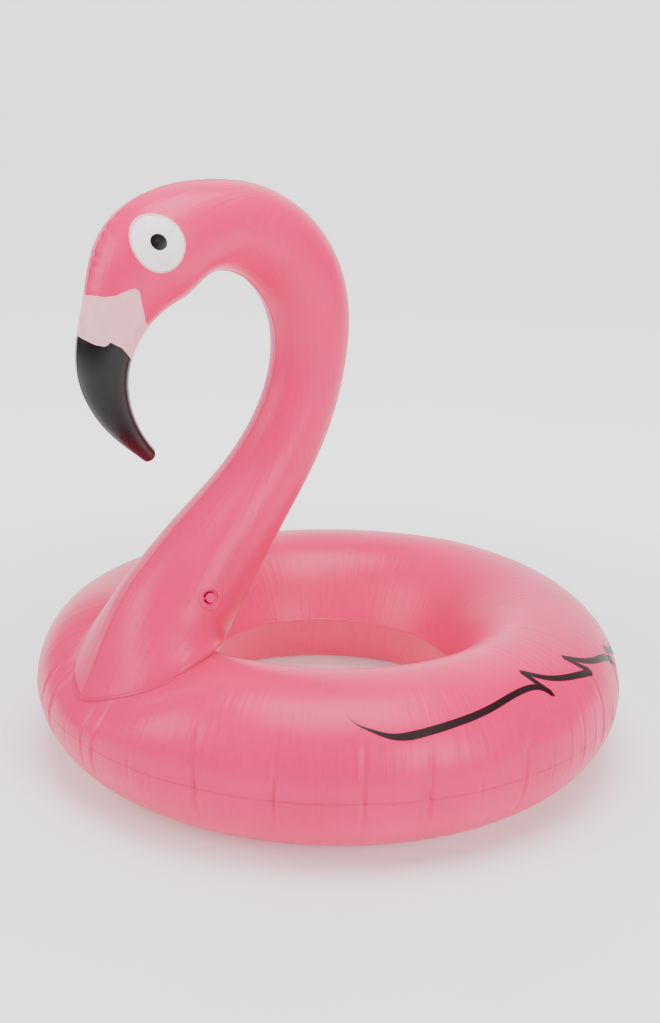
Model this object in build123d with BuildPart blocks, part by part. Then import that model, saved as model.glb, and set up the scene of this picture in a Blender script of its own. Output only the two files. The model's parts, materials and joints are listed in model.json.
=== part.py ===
from build123d import *
from math import cos, radians, sin
import os

os.makedirs("parts", exist_ok=True)

# An inflatable swim ring with a flamingo's neck and head, in millimetres.
# +X is the way the bird looks, +Y is its left side, +Z is up.
# The origin lies on the floor at the centre of the ring.

# Ring tube: two annular panels that meet at an outer and an inner weld.
ring_radius = 560.0
hole_radius = 238.0
crest_radius = 398.0
ring_height = 285.0
seam_height = 133.0
rest_width = 36.0
inner_lean = 30.0
inner_rise = 0.46
crest_pull = 82.0
round_pull = 0.553

# Film and welds. The film is drawn thicker than the real 0.3 mm vinyl.
wall = 1.0
ink = 0.4
seam_half_width = 3.0
seam_proud = 1.8
bead_half_width = 1.2
base_weld_width = 4.0
base_weld_proud = 1.5

# Neck, head and beak: stations along the middle of the stuffed form, each with
# x, z, half the front-to-back depth and half the side-to-side width.
neck_stations = [
    (412, 130, 122, 142),
    (404, 180, 116, 132),
    (392, 232, 108, 120),
    (356, 300, 107, 110),
    (266, 413, 91, 91),
    (178, 515, 75, 75),
    (105, 623, 69, 69),
    (67, 746, 69, 69),
    (80, 868, 76, 76),
    (156, 959, 77, 77),
    (282, 984, 75, 75),
    (392, 928, 84, 82),
    (440, 855, 56, 53),
    (468, 754, 40, 40),
    (443, 668, 25, 25),
    (392, 607, 11, 11),
    (386, 601, 7, 7),
]

# Printed areas, seen from the side as x and z.
eye_centre = (407, 967)
eye_half_width = 38.0
eye_half_height = 42.0
pupil_centre = (409, 970)
pupil_radius = 12.5
cere_corner = (438, 899)
cere_front = (540, 879)
cere_back = (405, 838)
ink_line_front = (540, 809)
ink_line_notch = [(500, 808), (487, 804), (480, 812), (462, 802), (448, 788), (405, 760)]
beak_side_reach = 300.0

# Feather line on the ring, as the angle from the bird's front and the distance
# from the ring's centre. Each stroke ends in a feather's tip.
feather_strokes = [
    [(57.5, 492), (61.5, 513), (67, 523), (75, 518), (86, 505), (94.5, 495), (99, 499), (102, 517)],
    [(102, 517), (98.5, 468), (103, 490), (110, 508), (118, 522)],
    [(118, 522), (113, 482), (119, 506), (127, 528), (133.5, 545)],
    [(133.5, 545), (131, 520), (139, 535), (148, 546)],
    [(148, 546), (146, 522), (154, 534), (163, 540)],
]
feather_width = 9.0

# Valves: one in the neck's left side and one in the ring's shoulder under the tail.
valve_hole_radius = 17.0
valve_flange_radius = 22.5
valve_flange_thickness = 1.4
valve_well_radius = 15.5
valve_well_depth = 18.0
valve_film = 0.8
stem_radius = 7.0
stem_bore_radius = 4.5
stem_top = -3.2
stem_foot = -19.0
stem_collar_radius = 8.6
stem_collar_thickness = 1.5
plug_clearance = 0.05
plug_shank_length = 9.0
plug_head_radius = 8.5
plug_head_thickness = 2.4
plug_gap = 0.3
flap_radius = 6.2
flap_thickness = 0.8
flap_gap = 0.3
tether_width = 4.0
tether_thickness = 1.0

neck_valve_start = (328, 0, 345)
neck_valve_direction = (0.0, 0.98, 0.21)
ring_valve_angle = 180.0
ring_valve_share = 0.62


def shoulder_points(growth):
    """Control points of the curve from the tube's crest to its outer weld."""
    crest = (crest_radius, ring_height + growth)
    weld = (ring_radius + growth, seam_height)
    return [
        crest,
        (crest[0] + round_pull * (weld[0] - crest[0]), crest[1]),
        (weld[0], weld[1] + round_pull * (crest[1] - weld[1])),
        weld,
    ]


def ring_half(growth, side):
    """Solid half of the ring tube, above (side 1) or below (side -1) its welds."""
    reach = ring_height - seam_height if side > 0 else seam_height
    level = seam_height + side * (reach + growth)
    flat = 0 if side > 0 else rest_width / 2
    inner = (hole_radius - growth, seam_height)
    outer = (ring_radius + growth, seam_height)
    crest_in = (crest_radius - flat, level)
    crest_out = (crest_radius + flat, level)
    lean = (inner[0] + inner_lean, seam_height + side * inner_rise * reach)
    with BuildPart() as half:
        with BuildSketch(Plane.XZ):
            with BuildLine():
                Bezier(inner, lean, (crest_in[0] - crest_pull, level), crest_in)
                if flat:
                    Line(crest_in, crest_out)
                Bezier(
                    crest_out,
                    (crest_out[0] + round_pull * (outer[0] - crest_out[0]), level),
                    (outer[0], seam_height + side * round_pull * (reach + growth)),
                    outer,
                )
                Line(outer, inner)
            make_face()
        revolve(axis=Axis.Z)
    return half.part


def ring_tube(growth):
    """Whole solid of the ring tube, grown outwards by growth."""
    with BuildPart() as tube:
        add(ring_half(growth, 1))
        add(ring_half(growth, -1))
    return tube.part


def station_plane(index, growth):
    """Plane square to the neck's middle line at one station."""
    before = neck_stations[max(index - 1, 0)]
    after = neck_stations[min(index + 1, len(neck_stations) - 1)]
    along = Vector(after[0] - before[0], 0, after[1] - before[1]).normalized()
    x, z = neck_stations[index][:2]
    centre = Vector(x, 0, z)
    if index == len(neck_stations) - 1:
        centre = centre + along * growth
    return Plane(origin=centre, x_dir=(0, 1, 0), z_dir=along)


def neck_form(growth):
    """Solid of the neck, head and beak, grown outwards by growth."""
    with BuildPart() as form:
        for index, (x, z, depth, width) in enumerate(neck_stations):
            with BuildSketch(station_plane(index, growth)):
                Ellipse(width + growth, depth + growth)
        loft()
    return form.part


def save(piece, name):
    """Label one finished piece and write it as its own file."""
    piece.part.label = name
    export_step(piece.part, f"parts/{name}.step")


ring_body = ring_tube(0)
neck_body = neck_form(0)

# Valve places: each plane lies on the film with +Z out along the valve's axis.
neck_hits = neck_body.find_intersection_points(Axis(neck_valve_start, neck_valve_direction))
neck_point, neck_normal = max(neck_hits, key=lambda hit: hit[0].Y)
neck_valve = Plane(origin=neck_point, x_dir=(1, 0, 0), z_dir=neck_normal)

with BuildLine(Plane.XZ.rotated((0, 0, ring_valve_angle))) as shoulder:
    Bezier(*shoulder_points(0))
shoulder_edge = shoulder.edges()[0]
shoulder_along = shoulder_edge % ring_valve_share
shoulder_across = Vector(-sin(radians(ring_valve_angle)), cos(radians(ring_valve_angle)), 0)
ring_valve = Plane(
    origin=shoulder_edge @ ring_valve_share,
    x_dir=shoulder_across,
    z_dir=shoulder_along.cross(shoulder_across),
)
valve_sites = {"neck": neck_valve, "ring": ring_valve}

# Ring panels: the upper one runs on under the neck and closes the ring's chamber.
for name, side in (("ring_upper_panel", 1), ("ring_lower_panel", -1)):
    with BuildPart() as ring_panel:
        add(ring_half(0, side))
        add(ring_half(-wall, side), mode=Mode.SUBTRACT)
        if side > 0:
            with BuildSketch(ring_valve):
                Circle(valve_hole_radius)
            extrude(amount=valve_well_depth, both=True, mode=Mode.SUBTRACT)
    save(ring_panel, name)

# Outer weld: a low half-round bead round the widest line of the tube.
with BuildPart() as ring_outer_seam:
    with BuildSketch(Plane.XZ):
        with BuildLine():
            foot = Line(
                (ring_radius, seam_height - seam_half_width),
                (ring_radius, seam_height + seam_half_width),
            )
            ThreePointArc(foot @ 1, (ring_radius + seam_proud, seam_height), foot @ 0)
        make_face()
    revolve(axis=Axis.Z)
save(ring_outer_seam, "ring_outer_seam")

# Inner weld: an arrow-shaped bead that sits over the pointed inner edge.
with BuildPart() as ring_inner_seam:
    with BuildSketch(Plane.XZ):
        with BuildLine():
            Polyline(
                (hole_radius, seam_height),
                (hole_radius + 0.3 * seam_half_width, seam_height + seam_half_width),
                (hole_radius - seam_proud, seam_height),
                (hole_radius + 0.3 * seam_half_width, seam_height - seam_half_width),
                close=True,
            )
        make_face()
    revolve(axis=Axis.Z)
save(ring_inner_seam, "ring_inner_seam")

# Neck panels: left and right halves of the stuffed form, cut off at the ring.
with BuildPart() as neck_skin:
    add(neck_body)
    add(neck_form(-wall), mode=Mode.SUBTRACT)
    add(ring_body, mode=Mode.SUBTRACT)
    with BuildSketch(neck_valve):
        Circle(valve_hole_radius)
    extrude(amount=valve_well_depth, both=True, mode=Mode.SUBTRACT)
for side, half in (("left", Keep.BOTTOM), ("right", Keep.TOP)):
    with BuildPart() as neck_panel:
        add(neck_skin.part)
        split(bisect_by=Plane.XZ, keep=half)
    save(neck_panel, f"neck_{side}_panel")

# Centre weld: a thin fin along the front, crown, beak and back of the neck.
with BuildPart() as neck_centre_seam:
    Box(2 * ring_radius, 2 * bead_half_width, 4 * ring_radius)
    add(neck_form(seam_proud), mode=Mode.INTERSECT)
    add(neck_body, mode=Mode.SUBTRACT)
    add(ring_tube(base_weld_proud), mode=Mode.SUBTRACT)
save(neck_centre_seam, "neck_centre_seam")

# Base weld: a band on the ring's film all round the foot of the neck.
with BuildPart() as neck_base_seam:
    add(ring_tube(base_weld_proud))
    add(ring_body, mode=Mode.SUBTRACT)
    add(neck_form(base_weld_width), mode=Mode.INTERSECT)
    add(neck_body, mode=Mode.SUBTRACT)
save(neck_base_seam, "neck_base_seam")

# Printed ink on the head and beak, a thin skin on the outside of the neck panels.
with BuildPart() as first_ink:
    add(neck_form(ink))
    add(neck_body, mode=Mode.SUBTRACT)
with BuildPart() as second_ink:
    add(neck_form(2 * ink))
    add(neck_form(ink), mode=Mode.SUBTRACT)

with BuildSketch(Plane.XZ) as cere_outline:
    with BuildLine():
        Polyline(
            cere_corner, cere_front, ink_line_front, *ink_line_notch[:-1], cere_back, close=True
        )
    make_face()
with BuildSketch(Plane.XZ) as beak_outline:
    with BuildLine():
        Polyline(
            ink_line_front, *ink_line_notch, (300, 760), (300, 560), (540, 560), close=True
        )
    make_face()
with BuildSketch(Plane.XZ) as eye_outline:
    with Locations(eye_centre):
        Ellipse(eye_half_width, eye_half_height)
with BuildSketch(Plane.XZ) as pupil_outline:
    with Locations(pupil_centre):
        Circle(pupil_radius)

prints = [
    ("beak_pale_print", cere_outline, first_ink),
    ("beak_black_print", beak_outline, first_ink),
    ("eye_white_print", eye_outline, first_ink),
    ("eye_pupil_print", pupil_outline, second_ink),
]
for side, sign in (("left", 1), ("right", -1)):
    for name, outline, skin in prints:
        with BuildPart() as printed:
            add(outline.sketch.translate((0, sign * bead_half_width, 0)))
            extrude(dir=(0, sign, 0), amount=beak_side_reach)
            add(skin.part, mode=Mode.INTERSECT)
        save(printed, f"{name}_{side}")

# Feather line: one brush stroke on each side of the ring, ending in tips.
with BuildPart() as ring_ink:
    add(ring_half(ink, 1))
    add(ring_half(0, 1), mode=Mode.SUBTRACT)
for side, sign in (("left", 1), ("right", -1)):
    with BuildSketch(Plane.XY.offset(seam_height)) as feather_outline:
        for stroke in feather_strokes:
            with BuildLine() as stroke_line:
                Polyline(
                    *[
                        (reach * cos(radians(turn)), sign * reach * sin(radians(turn)))
                        for turn, reach in stroke
                    ]
                )
            trace(stroke_line.line, feather_width)
    with BuildPart() as feather_print:
        add(feather_outline.sketch)
        extrude(amount=ring_height)
        add(ring_ink.part, mode=Mode.INTERSECT)
    save(feather_print, f"feather_print_{side}")

# Valves: a flange on the film, a soft boot, a stem, a flap, a plug and its tether.
film_forms = {"neck": neck_form, "ring": ring_tube}
film_bodies = {"neck": neck_body, "ring": ring_body}
for site, place in valve_sites.items():
    # Flange: a flat vinyl ring welded round the hole, following the film's curve.
    with BuildPart() as valve_flange:
        with BuildSketch(place):
            Circle(valve_flange_radius)
            Circle(valve_well_radius, mode=Mode.SUBTRACT)
        extrude(amount=valve_well_depth / 2, both=True)
        add(film_forms[site](valve_flange_thickness), mode=Mode.INTERSECT)
        add(film_bodies[site], mode=Mode.SUBTRACT)
    save(valve_flange, f"{site}_valve_flange")

    section = Plane(origin=place.origin, x_dir=place.x_dir, z_dir=-place.y_dir)
    valve_axis = Axis(place.origin, place.z_dir)

    # Boot: the soft well wall, which turns inside out when the stem is pulled.
    with BuildPart() as valve_boot:
        with BuildSketch(section):
            with BuildLine():
                Polyline(
                    (valve_well_radius, 0),
                    (valve_well_radius, -valve_well_depth),
                    (stem_collar_radius + plug_gap, -valve_well_depth),
                    (stem_collar_radius + plug_gap, valve_film - valve_well_depth),
                    (valve_well_radius - valve_film, valve_film - valve_well_depth),
                    (valve_well_radius - valve_film, 0),
                    close=True,
                )
            make_face()
        revolve(axis=valve_axis)
    save(valve_boot, f"{site}_valve_boot")

    # Stem: the mouth tube with a collar at its foot.
    with BuildPart() as valve_stem:
        with BuildSketch(place.offset(stem_foot)):
            Circle(stem_radius)
            Circle(stem_bore_radius, mode=Mode.SUBTRACT)
        extrude(amount=stem_top - stem_foot)
        with BuildSketch(place.offset(stem_foot)):
            Circle(stem_collar_radius)
            Circle(stem_bore_radius, mode=Mode.SUBTRACT)
        extrude(amount=stem_collar_thickness)
    save(valve_stem, f"{site}_valve_stem")

    # Flap: the non-return disc that closes the stem's foot from inside.
    with BuildPart() as valve_flap:
        with BuildSketch(place.offset(stem_foot - flap_gap)):
            Circle(flap_radius)
        extrude(amount=-flap_thickness)
    save(valve_flap, f"{site}_valve_flap")

    # Plug: a shank in the stem's bore under a flat head.
    with BuildPart() as valve_plug:
        with BuildSketch(place.offset(stem_top + plug_gap)):
            Circle(plug_head_radius)
        extrude(amount=plug_head_thickness)
        with BuildSketch(place.offset(stem_top + plug_gap)):
            Circle(stem_bore_radius - plug_clearance)
        extrude(amount=-plug_shank_length)
    save(valve_plug, f"{site}_valve_plug")

    # Tether: a narrow strap that bows out between the stem and the plug's head.
    strap_low = stem_foot + 3 * stem_collar_thickness
    strap_top = stem_top + plug_gap + plug_head_thickness / 2
    strap_bow = stem_radius + 5.0
    with BuildPart() as valve_tether:
        with BuildSketch(section):
            with BuildLine():
                outer_arc = ThreePointArc(
                    (stem_radius + plug_gap, strap_low),
                    (strap_bow, (strap_low + strap_top) / 2),
                    (plug_head_radius + plug_gap, strap_top),
                )
                inner_arc = ThreePointArc(
                    (stem_radius + plug_gap, strap_low + 2 * tether_thickness),
                    (strap_bow - tether_thickness, (strap_low + strap_top) / 2),
                    (plug_head_radius + plug_gap, strap_top - tether_thickness),
                )
                Line(outer_arc @ 0, inner_arc @ 0)
                Line(outer_arc @ 1, inner_arc @ 1)
            make_face()
        extrude(amount=tether_width / 2, both=True)
    save(valve_tether, f"{site}_valve_tether")

    print(site, "valve at", place.origin, "axis", place.z_dir)
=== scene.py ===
# %% [markdown]
# # An inflatable flamingo ring
# The float is two air chambers made of flat vinyl film. The ring is two annular panels welded along
# an outer and an inner line, and the neck is two mirror-image panels welded along a centre line.
# Everything that shows is film under pressure, so every piece here is a surface worked out from a
# formula. The CAD frame gives the places and sizes, and the looks are added round it.

import json

import bmesh
import bpy
import numpy as np
from mathutils import Matrix, Vector


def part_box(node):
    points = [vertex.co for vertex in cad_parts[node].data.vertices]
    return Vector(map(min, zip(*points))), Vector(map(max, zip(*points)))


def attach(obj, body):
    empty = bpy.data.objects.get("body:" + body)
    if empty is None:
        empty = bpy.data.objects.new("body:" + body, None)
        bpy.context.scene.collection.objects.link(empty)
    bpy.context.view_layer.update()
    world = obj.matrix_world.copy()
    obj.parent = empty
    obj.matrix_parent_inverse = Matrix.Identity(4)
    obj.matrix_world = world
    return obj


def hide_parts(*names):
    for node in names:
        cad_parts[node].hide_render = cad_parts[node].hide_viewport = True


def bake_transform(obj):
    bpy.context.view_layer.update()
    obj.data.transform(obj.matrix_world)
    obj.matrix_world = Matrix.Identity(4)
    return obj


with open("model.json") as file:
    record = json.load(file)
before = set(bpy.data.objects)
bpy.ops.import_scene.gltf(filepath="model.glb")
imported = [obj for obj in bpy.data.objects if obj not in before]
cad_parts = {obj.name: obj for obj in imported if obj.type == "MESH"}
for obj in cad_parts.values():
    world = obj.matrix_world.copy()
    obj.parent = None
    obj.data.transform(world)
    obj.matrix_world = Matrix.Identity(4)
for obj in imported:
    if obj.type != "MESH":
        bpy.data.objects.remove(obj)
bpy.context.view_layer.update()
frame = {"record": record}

MM = 0.001
# The places typed further down are in mm on a ring of this radius.
DRAWN_RADIUS = 560
ring_low, ring_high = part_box("ring_upper_panel")
ring_radius = ring_high[0]
ring_height = ring_high[2]
seam_height = ring_low[2]
hole_radius = 0.425 * ring_radius
crest_radius = 0.7107 * ring_radius
rest_half = 18 * MM
print("ring radius", round(ring_radius, 4), "height", round(ring_height, 4), "weld", round(seam_height, 4))

# %% [markdown]
# ## Turning formulas into meshes
# A film panel could be modelled by hand, but a formula keeps the weld lines of two panels exactly
# together. Each surface is a function of two numbers, worked out on a grid as whole arrays, and
# this helper joins the grid's points into faces. A grid can wrap round on itself, end in a point,
# or leave out the faces where a hole is cut.


# %% Grid to mesh
def grid_faces(rows, columns, wrap):
    """Corner numbers of the quads between neighbouring grid points, row by row."""
    first = np.arange(rows if wrap else rows - 1)
    second = (first + 1) % rows
    across = np.arange(columns - 1)
    a = first[:, None] * columns + across
    b = second[:, None] * columns + across
    return np.stack([a, b, b + 1, a + 1], axis=-1).reshape(-1, 4)


def grid_piece(name, points, wrap=False, keep=None, flip=False, merge=False):
    """A mesh object from a grid of points; keep is a test of points whose faces stay."""
    rows, columns = points.shape[:2]
    flat = points.reshape(-1, 3)
    faces = grid_faces(rows, columns, wrap)
    if keep is not None:
        kept = keep(flat)
        faces = faces[kept[faces].any(axis=1)]
        used = np.unique(faces)
        place = np.zeros(len(flat), int)
        place[used] = np.arange(len(used))
        flat, faces = flat[used], place[faces]
    if flip:
        faces = faces[:, ::-1]
    mesh = bpy.data.meshes.new(name)
    mesh.vertices.add(len(flat))
    mesh.vertices.foreach_set("co", flat.ravel())
    mesh.loops.add(faces.size)
    mesh.loops.foreach_set("vertex_index", faces.ravel().astype(np.int32))
    mesh.polygons.add(len(faces))
    mesh.polygons.foreach_set("loop_start", np.arange(0, faces.size, 4, dtype=np.int32))
    mesh.polygons.foreach_set("use_smooth", np.ones(len(faces), bool))
    mesh.update(calc_edges=True)
    if merge:
        weld_doubles(mesh)
    mesh.validate()
    piece = bpy.data.objects.new(name, mesh)
    bpy.context.scene.collection.objects.link(piece)
    return piece


def weld_doubles(mesh):
    """Merge points that lie on one another, as at a pole or a folded edge."""
    work = bmesh.new()
    work.from_mesh(mesh)
    bmesh.ops.remove_doubles(work, verts=work.verts, dist=0.01 * MM)
    bmesh.ops.dissolve_degenerate(work, edges=work.edges, dist=0.005 * MM)
    work.to_mesh(mesh)
    work.free()


print("a grid of 4 by 3 points has", len(grid_faces(4, 3, False)), "faces")


def smooth_step(x):
    """Zero below 0, one above 1, and a smooth S between."""
    x = np.clip(x, 0, 1)
    return x * x * (3 - 2 * x)


def unit(v):
    """Arrows made one long."""
    return v / np.maximum(np.linalg.norm(v, axis=-1, keepdims=True), 1e-12)


def grown(surface, u, v, growth):
    """Points of a surface moved outwards by growth along the cross product of its two slopes."""
    step = 2e-4
    along_u = surface(u + step, v) - surface(u - step, v)
    along_v = surface(u, v + step) - surface(u, v - step)
    return surface(u, v) + np.asarray(growth)[..., None] * unit(np.cross(along_u, along_v))


# %% [markdown]
# ## The ring's tube
# A flat ring of film blown up doesn't become a round doughnut. Its section is full at the crest and
# the outer weld and comes to a point at the inner weld, because the film there is too short to
# close round. Two Bezier curves for each panel give that section, and the point on a panel is
# named by the turn round the ring and the share of the way from the outer weld to the inner one.


# %% Section of the tube
def bezier(points, steps):
    """A cubic curve: each control point weighted by its share of (1 - t + t) cubed."""
    p = np.array(points)
    t = np.linspace(0, 1, steps)[:, None]
    return (1 - t) ** 3 * p[0] + 3 * (1 - t) ** 2 * t * p[1] + 3 * (1 - t) * t**2 * p[2] + t**3 * p[3]


def panel_section(side):
    """Share of the length, radius and height along one panel's section, outer weld first."""
    reach = ring_height - seam_height if side > 0 else seam_height
    level = seam_height + side * reach
    flat = 0.0 if side > 0 else rest_half
    fullness = 0.553 if side > 0 else 0.53
    outer = bezier(
        [
            (ring_radius, seam_height),
            (ring_radius, seam_height + side * fullness * reach),
            (crest_radius + flat + 0.553 * (ring_radius - crest_radius - flat), level),
            (crest_radius + flat, level),
        ],
        300,
    )
    inner = bezier(
        [
            (crest_radius - flat, level),
            (crest_radius - flat - 82 * MM, level),
            (hole_radius + 30 * MM, seam_height + side * 0.46 * reach),
            (hole_radius, seam_height),
        ],
        300,
    )
    line = np.concatenate([outer, inner])
    length = np.concatenate([[0], np.cumsum(np.linalg.norm(np.diff(line, axis=0), axis=1))])
    length, first = np.unique(length, return_index=True)
    return length, line[first, 0], line[first, 1]


sections = {side: panel_section(side) for side in (1, -1)}
panel_length = {side: sections[side][0][-1] for side in (1, -1)}
print("film width of each panel", {side: round(panel_length[side], 3) for side in (1, -1)})

# %% [markdown]
# ## Creases along the outer weld
# The outer weld is a circle that can't stretch, and the film above and below it has to shorten
# as the tube fills, so it gathers into sharp vertical creases with soft pillows between them. The
# main creases are listed one by one as the angle from the bird's front, how deep, and how far they run
# up and down. The rest of the way round is filled from a seeded draw of the same kind.

# %% Crease list
hand_creases = [
    # angle, depth in mm, reach up and down in mm, lean
    (0.0, 1.2, 40, 40, 0.0),
    (5.5, 3.2, 90, 70, 0.0),
    (9.0, 3.0, 105, 60, 0.05),
    (18.5, 1.4, 50, 35, 0.0),
    (23.5, 0.9, 30, 25, 0.0),
    (32.0, 4.0, 125, 70, -0.10),
    (37.3, 1.7, 45, 45, 0.0),
    (45.6, 4.4, 130, 80, 0.0),
    (49.0, 0.8, 25, 25, 0.0),
    (53.4, 2.2, 50, 40, 0.0),
    (60.4, 4.4, 135, 70, 0.0),
    (71.5, 3.6, 110, 75, 0.06),
    (80.8, 1.8, 50, 50, 0.03),
    (90.3, 3.6, 110, 80, 0.10),
    (97.0, 1.6, 60, 40, 0.05),
    (102.0, 2.2, 90, 60, 0.08),
    (106.5, 2.4, 100, 60, 0.08),
    (111.0, 1.8, 90, 50, 0.08),
    (115.5, 2.6, 110, 60, 0.08),
]
draw = np.random.default_rng(7)
angle = 121.0
while angle < 354:
    strong = draw.random() < 0.45
    hand_creases.append(
        (
            angle,
            draw.uniform(2.6, 4.2) if strong else draw.uniform(0.8, 2.0),
            draw.uniform(80, 130) if strong else draw.uniform(25, 60),
            draw.uniform(50, 80) if strong else draw.uniform(25, 45),
            draw.uniform(-0.08, 0.08),
        )
    )
    angle += draw.uniform(4.5, 10.5)
creases = np.array(hand_creases)
crease_turn = np.radians(creases[:, 0])
crease_depth = creases[:, 1] * MM
crease_up = creases[:, 2] * MM
crease_down = creases[:, 3] * MM
crease_lean = creases[:, 4]
print(len(creases), "creases round the outer weld")


def wrapped(angle_difference):
    """An angle brought between minus and plus half a turn."""
    return (angle_difference + np.pi) % (2 * np.pi) - np.pi


def crease_relief(turn, rise):
    """Outward relief of the creases: each is a narrow valley with a low ridge on both sides."""
    relief = np.zeros(np.broadcast(turn, rise).shape)
    for at, depth, up, down, lean in zip(crease_turn, crease_depth, crease_up, crease_down, crease_lean):
        across = wrapped(turn - at) * ring_radius - lean * rise
        fade = np.clip(1 - np.where(rise >= 0, rise / up, -rise / down), 0, 1)
        width = (2.4 + 3.0 * (1 - fade)) * MM
        valley = np.exp(-((across / width) ** 2))
        ridge = np.exp(-(((np.abs(across) - 2.4 * width) / (1.6 * width)) ** 2))
        relief += depth * fade**1.3 * (0.30 * ridge - valley)
    return relief


def pillow_relief(turn, rise):
    """Soft swelling between neighbouring strong creases, gone a hand's width from the weld."""
    strong = np.sort(crease_turn[crease_depth > 2.5 * MM])
    marks = np.concatenate([strong, [strong[0] + 2 * np.pi]])
    step = np.interp((turn - strong[0]) % (2 * np.pi) + strong[0], marks, np.arange(len(marks)))
    swell = np.abs(np.sin(np.pi * step)) ** 0.8
    fade = np.exp(-((rise / (60 * MM)) ** 2))
    return 2.2 * MM * (swell - 0.8) * fade


# %% [markdown]
# ## Where the neck pulls on the ring
# The neck's foot is welded to the ring's top film. The weld lies in a groove at the front and the
# sides. At the back, where the neck leans over the hole, the groove fades out and the film lifts by
# about two millimetres. An oval on plan marks the foot, and the relief fades with distance from it.

# %% Foot of the neck
foot_centre = 0.752 * ring_radius
foot_half_length = 0.222 * ring_radius
foot_half_width = 0.268 * ring_radius
# Depth of the groove in mm: its mean, and how much it changes front to back and side to end.
groove_mean = 14
groove_front = 10
groove_ends = 6
# The lift at the two back corners: mm, turn round the foot and spread of the turn.
lift_height = 3
lift_turn = 2.55
lift_spread = 0.30
print("foot", round(2 * foot_half_length, 3), "long", round(2 * foot_half_width, 3), "wide")


def foot_relief(x, y):
    """Groove and lift round the neck's foot, as a smooth fall-off from an oval on plan."""
    px = (x - foot_centre) / foot_half_length
    py = y / foot_half_width
    out = np.hypot(px, py)
    round_foot = np.arctan2(py, px)
    depth = groove_mean + groove_front * np.cos(round_foot) - groove_ends * np.cos(2 * round_foot)
    lift = lift_height * np.exp(-(((np.abs(round_foot) - lift_turn) / lift_spread) ** 2))
    away = np.maximum(out - 1, 0) * 0.5 * (foot_half_length + foot_half_width)
    fade = np.exp(-((away / (42 * MM)) ** 1.6))
    lift_fade = np.exp(-away / (26 * MM))
    return (-depth * fade + lift * lift_fade) * MM


# %% [markdown]
# ## The film of one panel
# The section is turned round the ring, and the relief moves each point along the section's normal.
# The foot's relief fades out before the outer weld, so that both panels meet there. The ring sags
# a little on one side, so the upper film is sunk there by a smooth amount.

# %% Panel surface
foot_fade = 75 * MM
sag_depth = 12 * MM
sag_turn = np.radians(-97)
sag_spread = np.radians(130)


def ring_surface_of(side):
    """The film of one panel as a function of turn and share, with all its relief."""
    length, radius, height = sections[side]

    def surface(turn, share):
        turn, share = np.broadcast_arrays(turn, share)
        travel = share * panel_length[side]
        r = np.interp(travel, length, radius)
        z = np.interp(travel, length, height)
        slope = 0.5 * MM
        dr = np.interp(travel + slope, length, radius) - np.interp(travel - slope, length, radius)
        dz = np.interp(travel + slope, length, height) - np.interp(travel - slope, length, height)
        size = np.maximum(np.hypot(dr, dz), 1e-12)
        out_r, out_z = side * dz / size, -side * dr / size
        relief = crease_relief(turn, side * travel) + pillow_relief(turn, side * travel)
        if side > 0:
            pulled = foot_relief(r * np.cos(turn), r * np.sin(turn))
            relief = relief + pulled * smooth_step(travel / foot_fade)
        sink = sag_depth * np.cos(np.clip(wrapped(turn - sag_turn) / sag_spread, -0.5, 0.5) * np.pi)
        top = np.clip((z - seam_height) / (ring_height - seam_height), 0, 1)
        r2 = r + relief * out_r
        z2 = z + relief * out_z - sink * top
        return np.stack([r2 * np.cos(turn), r2 * np.sin(turn), z2], axis=-1)

    return surface


ring_surface = {side: ring_surface_of(side) for side in (1, -1)}
print("crest at the front", ring_surface[1](0.0, 0.5).round(3))


# %% [markdown]
# ## The neck, head and beak
# The neck is one tube whose middle line bends back over the hole and forward into the head. A row
# of stations gives the line and the tube's half depth and half width, in mm on a ring of the drawn
# radius, and a natural cubic spline joins them. Near the first station the film leaves the tube and
# runs down to meet the foot's weld.

# %% Middle line of the neck
stations = (
    np.array(
        [
            # x, z, half depth, half width
            (356, 300, 107, 108),
            (266, 413, 91, 91),
            (178, 515, 75, 75),
            (105, 623, 69, 69),
            (67, 746, 69, 69),
            (80, 868, 76, 76),
            (156, 959, 77, 77),
            (282, 984, 75, 75),
            (395, 931, 87, 83),
            (445, 857, 60, 56),
            (473, 757, 43, 42),
            (443, 668, 25, 25),
            (392, 607, 11, 11),
            (384, 599, 10, 10),
        ]
    )
    / DRAWN_RADIUS
    * ring_radius
)


def natural_spline(knots, values, at):
    """Cubic pieces through the values whose slopes and bends agree at each knot."""
    count = len(knots)
    gap = np.diff(knots)
    rise = np.diff(values, axis=0) / gap[:, None]
    system = np.eye(count)
    inner = np.arange(1, count - 1)
    system[inner, inner - 1] = gap[:-1]
    system[inner, inner] = 2 * (gap[:-1] + gap[1:])
    system[inner, inner + 1] = gap[1:]
    right = np.zeros_like(values)
    right[1:-1] = 6 * (rise[1:] - rise[:-1])
    bend = np.linalg.solve(system, right)
    piece = np.clip(np.searchsorted(knots, at) - 1, 0, count - 2)
    h = gap[piece][:, None]
    a = (knots[piece + 1] - at)[:, None] / h
    b = 1 - a
    return (
        a * values[piece]
        + b * values[piece + 1]
        + ((a**3 - a) * bend[piece] + (b**3 - b) * bend[piece + 1]) * h**2 / 6
    )


chord = np.concatenate([[0], np.cumsum(np.linalg.norm(np.diff(stations[:, :2], axis=0), axis=1))])
line = natural_spline(chord, stations, np.linspace(0, chord[-1], 3000))
line_travel = np.concatenate([[0], np.cumsum(np.linalg.norm(np.diff(line[:, :2], axis=0), axis=1))])
line_slope = unit(np.gradient(line[:, :2], axis=0))
neck_length = line_travel[-1]
tip_round = 9 * MM
base_join = 40 * MM
print("length of the neck's middle line", round(neck_length, 3))

# %% [markdown]
# ## The neck's film
# A point on the neck is named by the turn round the tube, 0 at the throat side and half a turn at
# the nape, and by the travel along the middle line. Small creases cross the weld over the forehead,
# where the film is turned most sharply. The tip of the beak closes as a quarter circle.

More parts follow.
